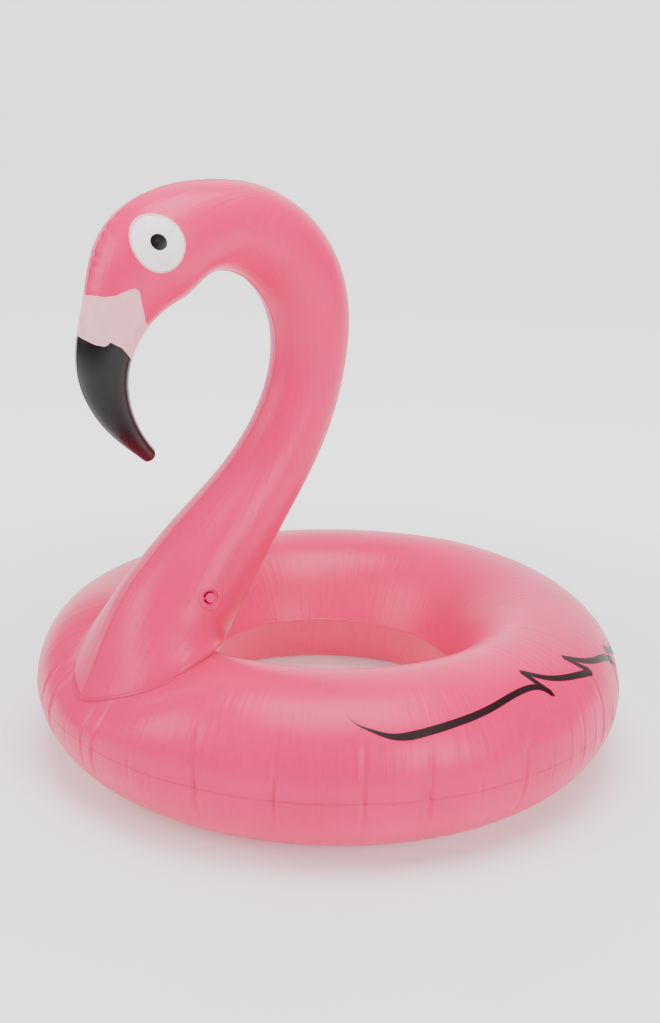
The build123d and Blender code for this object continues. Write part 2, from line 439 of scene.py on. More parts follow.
# %% Neck surface
forehead_creases = [
    # travel as a share of the neck's length, depth in mm, how far each side in mm
    (0.726, 1.2, 26),
    (0.737, 2.0, 36),
    (0.745, 1.5, 26),
    (0.759, 2.3, 40),
    (0.768, 1.7, 28),
    (0.794, 1.8, 30),
]


def section_point(turn, travel):
    """A point on the tube: middle line plus half depth and half width in the section's plane."""
    x, z, depth, width = (np.interp(travel, line_travel, line[:, k]) for k in range(4))
    tx, tz = (np.interp(travel, line_travel, line_slope[:, k]) for k in range(2))
    close = np.clip((travel - (neck_length - tip_round)) / tip_round, 0, 1)
    shrink = np.sqrt(np.maximum(1 - close**2, 0))
    nape = np.abs(wrapped(turn - np.pi)) * width
    throat = np.abs(wrapped(turn)) * width
    relief = 1.6 * MM * (np.exp(-nape / (9 * MM)) + np.exp(-throat / (9 * MM)))
    for share, deep, far in forehead_creases:
        across = (travel - share * neck_length) / (2.6 * MM)
        fade = np.clip(1 - nape / (far * MM), 0, 1)
        valley = np.exp(-(across**2)) - 0.35 * np.exp(-(((np.abs(across) - 2.2) / 1.4) ** 2))
        relief = relief - deep * MM * fade * valley
    out = (depth + relief) * np.cos(turn) * shrink
    side = (width + relief) * np.sin(turn) * shrink
    return np.stack([x + out * tz, side, z - out * tx], axis=-1)


def foot_point(turn):
    """A point of the foot's weld: an oval on plan, squarer at the back, laid on the ring's film."""
    x = foot_centre + foot_half_length * np.cos(turn)
    bend = np.where(np.cos(turn) < 0, 0.62, 1.25)
    y = foot_half_width * np.sign(np.sin(turn)) * np.abs(np.sin(turn)) ** bend
    r = np.hypot(x, y)
    length, radius, _ = sections[1]
    falling = np.argsort(radius)
    share = np.interp(r, radius[falling], length[falling]) / panel_length[1]
    return ring_surface[1](np.arctan2(y, x), share)


foot_turns = np.linspace(-np.pi, np.pi, 1441)
foot_line = foot_point(foot_turns)
foot_rise = 0.30


def neck_surface(turn, travel):
    """Neck film by turn and travel; below base_join a cubic runs down to the foot's weld."""
    turn, travel = np.broadcast_arrays(turn, travel)
    upper = section_point(turn, np.maximum(travel, base_join))
    step = 1 * MM
    slope = (section_point(turn, base_join + step) - section_point(turn, base_join - step)) / (2 * step)
    join = section_point(turn, np.full_like(travel, base_join))
    foot = np.stack([np.interp(wrapped(turn), foot_turns, foot_line[:, k]) for k in range(3)], axis=-1)
    span = np.linalg.norm(join - foot, axis=-1, keepdims=True)
    outward = np.stack([np.cos(turn), np.sin(turn), np.zeros_like(turn)], axis=-1)
    start = unit(slope + foot_rise * outward) * span
    end = unit(slope) * span
    w = np.clip(travel / base_join, 0, 1)[..., None]
    lower = (
        (2 * w**3 - 3 * w**2 + 1) * foot
        + (w**3 - 2 * w**2 + w) * start
        + (3 * w**2 - 2 * w**3) * join
        + (w**3 - w**2) * end
    )
    return np.where(travel[..., None] < base_join, lower, upper)


def on_neck(x, z):
    """Turn and travel of the neck's left side at a place seen from the side."""
    gap = np.hypot(np.asarray(x)[..., None] - line[:, 0], np.asarray(z)[..., None] - line[:, 1])
    nearest = gap.argmin(axis=-1)
    tx, tz = line_slope[nearest, 0], line_slope[nearest, 1]
    out = (x - line[nearest, 0]) * tz - (z - line[nearest, 1]) * tx
    return np.arccos(np.clip(out / line[nearest, 2], -1, 1)), line_travel[nearest]


# %% [markdown]
# ## The four panels of film
# Each panel stays a piece of its own, as it was cut: the ring's upper and lower films and the
# neck's left and right films. A round hole is left in the film under each valve.

# %% Places of the two valves
record = frame["record"]
joint_rows = {row["name"]: row for row in record["behaviour"]["joints"]}
flap_radius = 6.2 * MM
flap_depth = 19.3 * MM


def valve_place(site):
    """Centre of a valve at the film, its axis outwards, and two arrows across it.

    The flap's hinge lies a known depth below the film and at the flap's edge, so the centre is
    the hinge's place plus that depth along the axis and the flap's radius across it."""
    hinge = joint_rows[site + "_valve_flap_swing"]
    axis = unit(np.array(joint_rows[site + "_valve_pop_out"]["axis"], float))
    across = unit(np.cross(np.array(hinge["axis"], float), axis))
    centre = np.array(hinge["pos_m"], float) + flap_depth * axis + flap_radius * across
    side = unit(np.cross(np.array([0.0, 0.0, 1.0]), axis))
    return centre, axis, side, np.cross(axis, side)


valves = {site: valve_place(site) for site in ("neck", "ring")}
hole_in_film = 18.0 * MM


def clear_of(site):
    """Test of points that lie outside a valve's hole in the film."""
    return lambda points: np.linalg.norm(points - valves[site][0], axis=1) > hole_in_film


# %% Make the four films
turns = np.linspace(0, 2 * np.pi, 1600, endpoint=False)
shares = np.linspace(0, 1, 61)
films = {}
for side, name in ((1, "ring_upper_film"), (-1, "ring_lower_film")):
    grid = ring_surface[side](turns[:, None], shares[None, :])
    grid[..., 2] = np.maximum(grid[..., 2], 0)
    keep = clear_of("ring") if side > 0 else None
    films[name] = grid_piece(name, grid, wrap=True, keep=keep, flip=side < 0)
travels = np.concatenate([np.linspace(0, base_join, 44)[:-1], np.linspace(base_join, neck_length, 560)])
for name, start in (("neck_left_film", 0.0), ("neck_right_film", -np.pi)):
    around = start + np.linspace(0, np.pi, 120)
    grid = neck_surface(around[:, None], travels[None, :])
    keep = clear_of("neck") if start == 0 else None
    films[name] = grid_piece(name, grid, keep=keep, merge=True)
for name, film in films.items():
    print(name, len(film.data.polygons), "faces")

# %% [markdown]
# ## Welds
# A heat weld is a narrow strip where two films have been pressed into one. It shows as a thin,
# slightly raised bead with a shine of its own. Each bead is a small arched section carried along
# the line where its two panels meet, and it follows every crease of the film.


# %% Beads along the welds
def bead(name, left, middle, right, wrap):
    """A strip whose three rails are joined by an arch: the middle rail is the bead's top."""
    steps = np.linspace(-1, 1, 7)
    arch = (1 - steps**2)[None, :, None]
    edge = left[:, None] * (1 - steps[None, :, None]) / 2 + right[:, None] * (1 + steps[None, :, None]) / 2
    top = middle[:, None] - (left[:, None] + right[:, None]) / 2
    return grid_piece(name, edge + arch * top, wrap=wrap, merge=True)


weld_half = 2.0 * MM
weld_turns = np.linspace(0, 2 * np.pi, 2400, endpoint=False)
weld_share = weld_half / panel_length[1]
upper_edge = ring_surface[1](weld_turns, np.full_like(weld_turns, weld_share))
lower_edge = ring_surface[-1](weld_turns, np.full_like(weld_turns, weld_share))
edge_middle = ring_surface[1](weld_turns, np.zeros_like(weld_turns))
outward = np.stack([np.cos(weld_turns), np.sin(weld_turns), 0 * weld_turns], axis=-1)
outer_weld = bead("ring_outer_weld", lower_edge, edge_middle + 0.5 * MM * outward, upper_edge, True)

upper_edge = ring_surface[1](weld_turns, np.full_like(weld_turns, 1 - weld_share))
lower_edge = ring_surface[-1](weld_turns, np.full_like(weld_turns, 1 - weld_share))
edge_middle = ring_surface[1](weld_turns, np.ones_like(weld_turns))
inner_weld = bead("ring_inner_weld", upper_edge, edge_middle - 1.0 * MM * outward, lower_edge, True)


def centre_rail(turn, start, end, steps):
    """Three rails of the neck's centre weld along one side of the neck, between two travels."""
    run = np.linspace(start, end, steps)
    width = np.interp(run, line_travel, line[:, 3])
    spread = np.minimum(1.3 * MM / width, 0.5)
    left = neck_surface(turn + spread, run)
    right = neck_surface(turn - spread, run)
    middle = grown(neck_surface, np.full_like(run, turn), run, 0.9 * MM)
    return left, middle, right


foot_run = np.linspace(0, 2 * np.pi, 1200, endpoint=False)
foot_low = foot_point(foot_run)
foot_out = unit(np.stack([np.cos(foot_run), np.sin(foot_run), 0 * foot_run], axis=-1))
foot_high = neck_surface(wrapped(foot_run), np.full_like(foot_run, 1.2 * MM))
foot_weld = bead(
    "neck_foot_weld",
    foot_low + foot_out * 2.2 * MM - np.array([0, 0, 0.4 * MM]),
    foot_low + foot_out * 1.2 * MM + np.array([0, 0, 1.3 * MM]),
    foot_high,
    True,
)

# %% [markdown]
# ## Printed ink
# The eye, the beak's bands and the feather lines are ink printed on the flat film before it was
# welded, so they follow its curve exactly. Each is a patch worked out on the same surface and
# lifted by 0.3 mm. Image textures could do it too, but a patch has a crisp edge.

# %% Eyes
ink_lift = 0.3 * MM
side_names = {1: "left", -1: "right"}
eye_centre = np.array([407, 967]) / DRAWN_RADIUS * ring_radius
eye_half = np.array([39, 42.5]) / DRAWN_RADIUS * ring_radius
pupil_centre = np.array([409, 970]) / DRAWN_RADIUS * ring_radius
pupil_half = np.array([12.5, 12.5]) / DRAWN_RADIUS * ring_radius
prints = {}


def eye_patch(name, side, centre, half, inner, outer, lift):
    """Rings of an oval drawn from the side, carried to the head's film."""
    around = np.linspace(0, 2 * np.pi, 160, endpoint=False)[:, None]
    reach = np.linspace(inner, outer, 30)[None, :]
    x = centre[0] + half[0] * reach * np.cos(around)
    z = centre[1] + half[1] * reach * np.sin(around)
    turn, travel = on_neck(x, z)
    grid = grown(neck_surface, side * turn, travel, lift)
    return grid_piece(name, grid, wrap=True, flip=side < 0, merge=True)


eye_layers = {
    # centre, half size, inner and outer reach, lift
    "eye_white_": (eye_centre, eye_half, 0, 1, ink_lift),
    "eye_rim_": (eye_centre, eye_half, 0.985, 1.06, ink_lift),
    "eye_pupil_": (pupil_centre, pupil_half, 0, 1, 2 * ink_lift),
}
for side, word in side_names.items():
    for layer, shape in eye_layers.items():
        prints[layer + word] = eye_patch(layer + word, side, *shape)
print(len(prints), "eye pieces")

# %% [markdown]
# ## The beak's bands
# The beak has a pale band and then black down to its tip. Each edge of a band is a short list of
# places seen from the side, turned into travel along the beak by turn round it.

# %% Beak
pale_edge = [(496, 880), (485, 883), (472, 886), (459, 893), (446, 898), (439, 894), (433, 872), (420, 841)]
black_edge = [(506, 815), (500, 807), (489, 805), (484, 808), (481, 812), (462, 802), (450, 790), (441, 781)]


def band_edge(points):
    """Travel by turn along an edge, held level from its last point to the throat."""
    x, z = (np.array(points, float) / DRAWN_RADIUS * ring_radius).T
    turn, travel = on_neck(x, z)
    turn[0] = np.pi
    turn = np.append(turn, 0.0)
    travel = np.append(travel, travel[-1] + 6 * MM)
    order = np.argsort(turn)
    return lambda at: np.interp(np.abs(at), turn[order], travel[order])


def beak_patch(name, side, top, foot, columns, closed=False):
    """A band of the beak's film between two edges; a closed one ends in the tip."""
    turn = np.linspace(0, np.pi, 241) if side > 0 else np.linspace(-np.pi, 0, 241)
    share = np.linspace(0, 1, columns)[None, :]
    travel = (1 - share) * top(turn)[:, None] + share * foot(turn)[:, None]
    grid = grown(neck_surface, np.broadcast_to(turn[:, None], travel.shape), travel, ink_lift)
    if closed:
        tip = grid[:, -1].mean(axis=0)
        grid = np.concatenate([grid, np.broadcast_to(tip, (len(turn), 1, 3))], axis=1)
    return grid_piece(name, grid, merge=True)


pale_top, black_top = band_edge(pale_edge), band_edge(black_edge)
beak_end = lambda at: np.full_like(at, neck_length - 0.02 * MM)
for side, word in side_names.items():
    prints["beak_pale_" + word] = beak_patch("beak_pale_" + word, side, pale_top, black_top, 60)
    prints["beak_black_" + word] = beak_patch("beak_black_" + word, side, black_top, beak_end, 150, True)
print(len(prints), "eye and beak pieces")

# %% [markdown]
# ## Centre weld of the neck
# The bead runs up the throat and the nape and meets itself at the tip. The ink was printed
# before the weld was made, so the bead is pale over the pale band and black over the black one.

# %% Centre weld
centre_welds = {}
# Points along each stretch of the weld, from the foot to the tip.
weld_inks = {"pink": 1400, "pale": 100, "black": 260}
for word, turn in (("throat", 0.0), ("nape", np.pi)):
    marks = [2 * MM, float(pale_top(turn)), float(black_top(turn)), neck_length - 0.6 * MM]
    for (ink, steps), first, last in zip(weld_inks.items(), marks[:-1], marks[1:]):
        rails = centre_rail(turn, first, last, steps)
        centre_welds[word, ink] = bead(f"neck_{word}_weld_{ink}", *rails, False)
print(len(centre_welds), "stretches of centre weld")

# %% [markdown]
# ## Feather lines
# A brush line on each side of the ring stands for the wing. Each stroke is a smooth line on plan
# with a width that narrows to its ends, laid on the ring's film, and two strokes meet in a tip.

# %% Feathers
strokes = [
    # angle from the bird's front in degrees, and distance from the ring's centre in mm
    [
        (57.5, 492), (59, 504), (61.5, 513), (64.8, 521), (71.8, 520), (78.2, 514),
        (85.5, 506), (91.2, 498), (96.5, 495), (100.2, 503), (102, 519),
    ],
    [(102, 519), (99.8, 492), (98.5, 467), (102.2, 488), (107.5, 504), (113.2, 514), (118, 523)],
    [(118, 523), (115.2, 503), (113.2, 481), (117.2, 501), (123.0, 518), (129.8, 533), (133.5, 549)],
    [(133.5, 549), (132.4, 538), (132, 525), (135, 536), (140.5, 544), (148, 548)],
    [(148, 548), (146.6, 536), (146, 522), (151, 535), (163, 541)],
]
stroke_width = 9.5 * MM


def stroke_grid(stroke, side):
    """Points across and along one stroke, on the ring's upper film."""
    angle, reach = np.array(stroke, float).T
    angle, reach = np.radians(angle) * side, reach / DRAWN_RADIUS * ring_radius
    knots = np.stack([reach * np.cos(angle), reach * np.sin(angle)], axis=1)
    corner = int(np.argmin(reach[:-1])) if len(stroke) < 9 else 0
    chord = np.concatenate([[0], np.cumsum(np.linalg.norm(np.diff(knots, axis=0), axis=1))])
    if corner:
        first = np.linspace(0, chord[corner], 60)
        last = np.linspace(chord[corner], chord[-1], 140)[1:]
        track = np.concatenate(
            [
                natural_spline(chord[: corner + 1], knots[: corner + 1], first),
                natural_spline(chord[corner:], knots[corner:], last),
            ]
        )
    else:
        track = natural_spline(chord, knots, np.linspace(0, chord[-1], 240))
    run = np.concatenate([[0], np.cumsum(np.linalg.norm(np.diff(track, axis=0), axis=1))])
    slope = unit(np.gradient(track, axis=0))
    across = np.stack([-slope[:, 1], slope[:, 0]], axis=1)
    narrow = 110 * MM if not corner else 7 * MM
    width = stroke_width * np.clip(run / narrow, 0.03, 1) * np.clip((run[-1] - run) / (7 * MM), 0.03, 1)
    steps = np.linspace(-0.5, 0.5, 7)
    plan = track[:, None] + steps[None, :, None] * width[:, None, None] * across[:, None]
    length, radius, _ = sections[1]
    share = np.interp(-np.hypot(plan[..., 0], plan[..., 1]), -radius, length) / panel_length[1]
    turn = np.arctan2(plan[..., 1], plan[..., 0])
    return grown(ring_surface[1], turn, share, ink_lift)


def join_pieces(name, pieces):
    """One object from several."""
    with bpy.context.temp_override(active_object=pieces[0], selected_editable_objects=pieces):
        bpy.ops.object.join()
    pieces[0].name = name
    return pieces[0]


for side, word in side_names.items():
    parts = [grid_piece(f"stroke_{k}", stroke_grid(stroke, side)) for k, stroke in enumerate(strokes)]
    prints["feather_" + word] = join_pieces("feather_" + word, parts)
print(len(strokes), "strokes in each feather line")

# %% [markdown]
# ## The air valves
# Each chamber fills through a soft valve: a flange welded to the film, a boot that turns inside out
# when the stem is pulled, the stem with its flap inside, and a plug on a strap. All but the strap
# are turned shapes: a profile of radius and height carried round the valve's axis.


# %% Turned shapes
def soft_corners(points, cut):
    """A closed or open outline whose corners are replaced by short quadratic curves."""
    p = np.array(points, float)
    closed = np.allclose(p[0], p[-1])
    if closed:
        p = p[:-1]
        before, after = np.roll(p, 1, axis=0), np.roll(p, -1, axis=0)
    else:
        before, after = np.vstack([p[:1], p[:-1]]), np.vstack([p[1:], p[-1:]])
    back, on = before - p, after - p
    near = lambda arrow: unit(arrow) * np.minimum(cut, 0.45 * np.linalg.norm(arrow, axis=1, keepdims=True))
    a, c = p + near(back), p + near(on)
    t = np.linspace(0, 1, 5)[None, :, None]
    curve = (1 - t) ** 2 * a[:, None] + 2 * (1 - t) * t * p[:, None] + t**2 * c[:, None]
    curve = curve.reshape(-1, 2)
    return np.vstack([curve, curve[:1]]) if closed else curve


def film_height(site):
    """Height of the film near a valve, as a least-squares quadratic of the place across its axis."""
    centre, axis, side, up = valves[site]
    film = films["neck_left_film" if site == "neck" else "ring_upper_film"]
    points = np.zeros(len(film.data.vertices) * 3)
    film.data.vertices.foreach_get("co", points)
    away = points.reshape(-1, 3) - centre
    close = away[np.linalg.norm(away, axis=1) < 34 * MM]
    u, v, h = close @ side, close @ up, close @ axis
    terms = lambda u, v: np.stack([u * u, u * v, v * v, u, v, np.ones_like(u)], axis=-1)
    fit = np.linalg.lstsq(terms(u, v), h, rcond=None)[0]
    return lambda u, v: terms(u, v) @ fit


film_heights = {site: film_height(site) for site in valves}


def turned(name, site, profile, cut=0.3, follow=None, segments=96):
    """A profile of radius and height in mm carried round the axis; follow says how far each
    height keeps to the film's own curve, from 0 to 1."""
    centre, axis, side, up = valves[site]
    line_of = soft_corners(profile, cut)
    r, h = line_of[:, 0] * MM, line_of[:, 1] * MM
    around = np.linspace(0, 2 * np.pi, segments, endpoint=False)[:, None]
    u, v = r * np.cos(around), r * np.sin(around)
    lift = np.broadcast_to(h, u.shape)
    if follow is not None:
        lift = lift + film_heights[site](u, v) * follow(h / MM)
    grid = centre + u[..., None] * side + v[..., None] * up + lift[..., None] * axis
    return grid_piece(name, grid, wrap=True, merge=True)


# %% [markdown]
# ## The parts of one valve
# Every profile is a list of radius and height in mm, with the film's level at zero. The flange and
# the top of the boot keep to the film's own curve, and the parts deeper down are round and level.

# %% Valve pieces
flange_profile = [
    (15.2, -0.5), (22.2, -0.4), (22.6, 0.2), (21.4, 0.9), (20.4, 0.9), (19.9, 1.35), (19.2, 1.35),
    (18.7, 0.9), (17.4, 1.0), (16.8, 1.5), (15.6, 1.4), (15.2, 0.6), (15.2, -0.5),
]
boot_profile = [
    (15.3, 0.5), (15.2, -1.4), (13.6, -2.8), (11.9, -3.6), (10.9, -5.0), (10.7, -12.0), (10.7, -17.8),
    (8.9, -17.8), (8.9, -17.0), (10.0, -17.0), (10.0, -12.0), (10.2, -4.6), (11.4, -2.9), (13.0, -2.1),
    (14.5, -1.0), (14.6, 0.5), (15.3, 0.5),
]
# The boot's outline is typed clockwise, so it is read backwards to face outwards.
boot_profile = boot_profile[::-1]
stem_profile = [
    (4.6, -19.0), (8.6, -19.0), (8.6, -17.5), (7.0, -17.3), (7.0, -6.4), (7.6, -6.0), (7.6, -5.2),
    (7.0, -4.8), (7.0, -3.2), (4.6, -3.2), (4.6, -19.0),
]
flap_profile = [(0, -20.1), (5.6, -20.1), (6.2, -19.9), (6.2, -19.35), (5.0, -19.3), (4.4, -19.5), (0, -19.5)]
plug_profile = [
    (0, -11.9), (3.4, -11.9), (4.4, -10.9), (4.4, -9.6), (4.0, -9.0), (4.0, -3.4), (4.4, -2.9),
    (8.2, -2.9), (8.5, -2.5), (8.5, -1.0), (8.1, -0.5), (7.2, -0.5), (6.6, -1.1), (2.2, -1.1),
    (1.6, -0.7), (0, -0.7),
]
near_film = lambda h: 1 - smooth_step(-h / 9.0)
whole_film = lambda h: 1.0 + 0 * h
valve_pieces = {}
strap_steps = 60
# The strap in mm: middle height, half its run, half its width and half its thickness.
strap_middle = -8.1
strap_half_run = 6.2
strap_half_width = 1.9
strap_half_thick = 0.45


def tether(name, site):
    """The plug's strap: a rounded flat section along an arc beside the stem."""
    centre, axis, _, _ = valves[site]
    low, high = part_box(site + "_valve_tether")
    aside = (np.array(low) + np.array(high)) / 2 - centre
    out = unit(aside - (aside @ axis) * axis)
    wide = np.cross(axis, out)
    turn = np.linspace(-1, 1, strap_steps)
    reach = (7.5 + 1.6 * np.cos(turn * np.pi / 2) + 0.6 * (turn + 1)) * MM
    height = (strap_middle + strap_half_run * turn) * MM
    path = centre + reach[:, None] * out + height[:, None] * axis
    slope = unit(np.gradient(path, axis=0))
    thick = np.cross(wide, slope)
    angle = np.linspace(0, 2 * np.pi, 24, endpoint=False)
    u = np.sign(np.cos(angle)) * np.abs(np.cos(angle)) ** 0.5 * strap_half_width * MM
    v = np.sign(np.sin(angle)) * np.abs(np.sin(angle)) ** 0.7 * strap_half_thick * MM
    closing = np.ones(strap_steps)
    closing[[0, -1]] = 0
    grid = path[:, None] + closing[:, None, None] * (
        u[None, :, None] * wide + v[None, :, None] * thick[:, None]
    )
    return grid_piece(name, np.concatenate([grid, grid[:, :1]], axis=1), merge=True, flip=True)


for site in valves:
    word = site + "_valve_"
    valve_pieces[word + "flange"] = turned(word + "welded_flange", site, flange_profile, 0.35, whole_film)
    valve_pieces[word + "boot"] = turned(word + "soft_boot", site, boot_profile, 0.5, near_film)
    valve_pieces[word + "stem"] = turned(word + "mouth_stem", site, stem_profile)
    valve_pieces[word + "flap"] = turned(word + "inner_flap", site, flap_profile, 0.2)
    valve_pieces[word + "plug"] = turned(word + "push_plug", site, plug_profile, 0.35)
    valve_pieces[word + "tether"] = tether(word + "plug_strap", site)
print(len(valve_pieces), "valve pieces")

# %% [markdown]
# ## Vinyl
# Soft PVC has an even colour with a satin shine. Its film is never quite flat: stretch marks run up
# the tube from the welds. The marks are a noise whose coordinates are squeezed along the height,
# and they go into a bump only. A slower noise of its own drifts the colour a little.


# %% Materials
soft_ior = 1.36


def colour(red, green, blue):
    """A screen colour from 0 to 255 turned into a linear one."""
    c = np.array([red, green, blue]) / 255.0
    return (*np.where(c <= 0.04045, c / 12.92, ((c + 0.055) / 1.055) ** 2.4), 1.0)


def new_material(name, roughness):
    """A material with one Principled shader, and its nodes and links at hand."""
    material = bpy.data.materials.new(name)
    material.use_nodes = True
    nodes, links = material.node_tree.nodes, material.node_tree.links
    shader = nodes["Principled BSDF"]
    shader.inputs["Roughness"].default_value = roughness
    shader.inputs["IOR"].default_value = soft_ior
    place = nodes.new("ShaderNodeTexCoord")
    return material, nodes, links, shader, place.outputs["Object"]


def noise(nodes, links, vector, scale, detail=3.0):
    """A noise read at a vector."""
    node = nodes.new("ShaderNodeTexNoise")
    node.inputs["Scale"].default_value = scale
    node.inputs["Detail"].default_value = detail
    links.new(vector, node.inputs["Vector"])
    return node.outputs["Fac"]


def stretched_place(nodes, links, vector):
    """Place on the ring's outline with the height squeezed, so that noise runs in upright marks."""
    flat = nodes.new("ShaderNodeVectorMath")
    flat.operation = "MULTIPLY"
    flat.inputs[1].default_value = (1, 1, 0)
    links.new(vector, flat.inputs[0])
    way = nodes.new("ShaderNodeVectorMath")
    way.operation = "NORMALIZE"
    links.new(flat.outputs[0], way.inputs[0])
    lift = nodes.new("ShaderNodeVectorMath")
    lift.operation = "MULTIPLY_ADD"
    links.new(vector, lift.inputs[0])
    lift.inputs[1].default_value = (0.06, 0.06, 0.08)
    links.new(way.outputs[0], lift.inputs[2])
    return lift.outputs[0]


def blend_colours(nodes, links, factor, first, second, low=0.35, high=0.65):
    """Two colours mixed by a factor stretched between two levels."""
    ramp = nodes.new("ShaderNodeValToRGB")
    ramp.color_ramp.elements[0].position = low
    ramp.color_ramp.elements[0].color = first
    ramp.color_ramp.elements[1].position = high
    ramp.color_ramp.elements[1].color = second
    links.new(factor, ramp.inputs["Fac"])
    return ramp.outputs["Color"]


def add_bump(nodes, links, shader, height, distance, under=None):
    """A bump of a height in metres under the shader's normal."""
    bump = nodes.new("ShaderNodeBump")
    bump.inputs["Strength"].default_value = 1.0
    bump.inputs["Distance"].default_value = distance
    links.new(height, bump.inputs["Height"])
    if under is not None:
        links.new(under, bump.inputs["Normal"])
    links.new(bump.outputs["Normal"], shader.inputs["Normal"])
    return bump.outputs["Normal"]


def vinyl(name, light, deep, roughness, marks):
    """Soft film: a faint drift of colour, upright marks and a fine grain as bump."""
    material, nodes, links, shader, place = new_material(name, roughness)
    shader.inputs["Subsurface Weight"].default_value = 0.08
    shader.inputs["Subsurface Radius"].default_value = (1.0, 0.35, 0.35)
    shader.inputs["Subsurface Scale"].default_value = 0.02
    drift = noise(nodes, links, place, 5.0)
    links.new(blend_colours(nodes, links, drift, deep, light), shader.inputs["Base Color"])
    upright = noise(nodes, links, stretched_place(nodes, links, place), 46.0, 2.0)
    normal = add_bump(nodes, links, shader, upright, marks)
    add_bump(nodes, links, shader, noise(nodes, links, place, 900.0, 1.0), 0.00002, normal)
    return material


def ink_finish(name, light, deep, roughness):
    """Printed ink: a smooth skin with a slight unevenness of its own."""
    material, nodes, links, shader, place = new_material(name, roughness)
    drift = noise(nodes, links, place, 60.0)
    links.new(blend_colours(nodes, links, drift, deep, light), shader.inputs["Base Color"])
    add_bump(nodes, links, shader, noise(nodes, links, place, 700.0, 1.0), 0.00002)
    return material


def black_beak(name):
    """Glossy black ink, mixed with dark red below a set height at the lowest part of the beak's tip."""
    material, nodes, links, shader, place = new_material(name, 0.26)
    split = nodes.new("ShaderNodeSeparateXYZ")
    links.new(place, split.inputs[0])
    height = nodes.new("ShaderNodeMapRange")
    height.inputs["From Min"].default_value = 0.60
    height.inputs["From Max"].default_value = 0.66
    links.new(split.outputs["Z"], height.inputs["Value"])
    tint = blend_colours(nodes, links, height.outputs[0], colour(70, 22, 26), colour(10, 8, 9), 0.0, 1.0)
    links.new(tint, shader.inputs["Base Color"])
    add_bump(nodes, links, shader, noise(nodes, links, place, 90.0, 2.0), 0.00012)
    return material


materials = {
    "pink_vinyl": vinyl("pink_satin_film", colour(238, 8, 104), colour(230, 4, 96), 0.33, 0.0009),
    "pink_weld": vinyl("pink_heat_weld", colour(232, 10, 96), colour(222, 6, 86), 0.30, 0.0003),
    "valve_vinyl": vinyl("pink_moulded_vinyl", colour(240, 26, 112), colour(234, 20, 104), 0.32, 0.0001),
    "pale_pink_ink": ink_finish("pale_pink_ink", colour(244, 176, 184), colour(240, 166, 176), 0.36),
    "white_ink": ink_finish("white_ink", colour(250, 240, 241), colour(246, 230, 233), 0.34),
    "feather_ink": ink_finish("brown_black_ink", colour(38, 10, 16), colour(26, 6, 12), 0.36),
    "black_ink": black_beak("black_beak_ink"),
}
pupil_ink = ink_finish("black_eye_ink", colour(18, 12, 14), colour(12, 8, 9), 0.28)
print(len(materials) + 1, "finishes")

# %% [markdown]
# ## Handing the pieces to the frame
# Each piece but the boot and the strap moves with one body of the frame, and most take the place
# of a plain solid there. The boot and the strap ride no body and stay where they are made, though
# they take the place of their solids too. The real boot turns inside out and the real strap bends,
# which these fixed pieces can't show.


# %% Ride, replace and finish
def hand_over(piece, body, slot, node=None, material=None):
    """Give a piece its finish, its body and the node that it stands for."""
    piece.data.materials.clear()
    piece.data.materials.append(material or materials[slot])
    if body:
        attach(piece, body)
    if node:
        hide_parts(node)


for side in ("upper", "lower"):
    hand_over(films[f"ring_{side}_film"], "float", "pink_vinyl", f"ring_{side}_panel")
for side in ("left", "right"):
    hand_over(films[f"neck_{side}_film"], "float", "pink_vinyl", f"neck_{side}_panel")
    hand_over(prints["eye_white_" + side], "float", "white_ink", "eye_white_print_" + side)
    hand_over(prints["eye_rim_" + side], "float", "pale_pink_ink")
    hand_over(prints["eye_pupil_" + side], "float", "black_ink", "eye_pupil_print_" + side, pupil_ink)
    hand_over(prints["beak_pale_" + side], "float", "pale_pink_ink", "beak_pale_print_" + side)
    hand_over(prints["beak_black_" + side], "float", "black_ink", "beak_black_print_" + side)
    hand_over(prints["feather_" + side], "float", "feather_ink", "feather_print_" + side)
hand_over(outer_weld, "float", "pink_weld", "ring_outer_seam")
hand_over(inner_weld, "float", "pink_weld", "ring_inner_seam")
weld_slots = {"pink": "pink_weld", "pale": "pale_pink_ink", "black": "black_ink"}
for (word, ink), piece in centre_welds.items():
    node = "neck_centre_seam" if (word, ink) == ("throat", "pink") else None
    hand_over(piece, "float", weld_slots[ink], node)
hand_over(foot_weld, "float", "pink_weld", "neck_base_seam")
for site, (centre, axis, _, _) in valves.items():
    word = site + "_valve_"
    part_bodies = {"flange": "float", "stem": word + "stem", "flap": word + "flap", "plug": word + "plug"}
    for part, body in part_bodies.items():
        hand_over(valve_pieces[word + part], body, "valve_vinyl", word + part)
    for part in ("boot", "tether"):
        hand_over(valve_pieces[word + part], None, "valve_vinyl", word + part)
    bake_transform(valve_pieces[word + "boot"])
    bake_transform(valve_pieces[word + "tether"])
print("handed over", len(films) + len(prints) + len(centre_welds) + len(valve_pieces) + 3, "pieces")
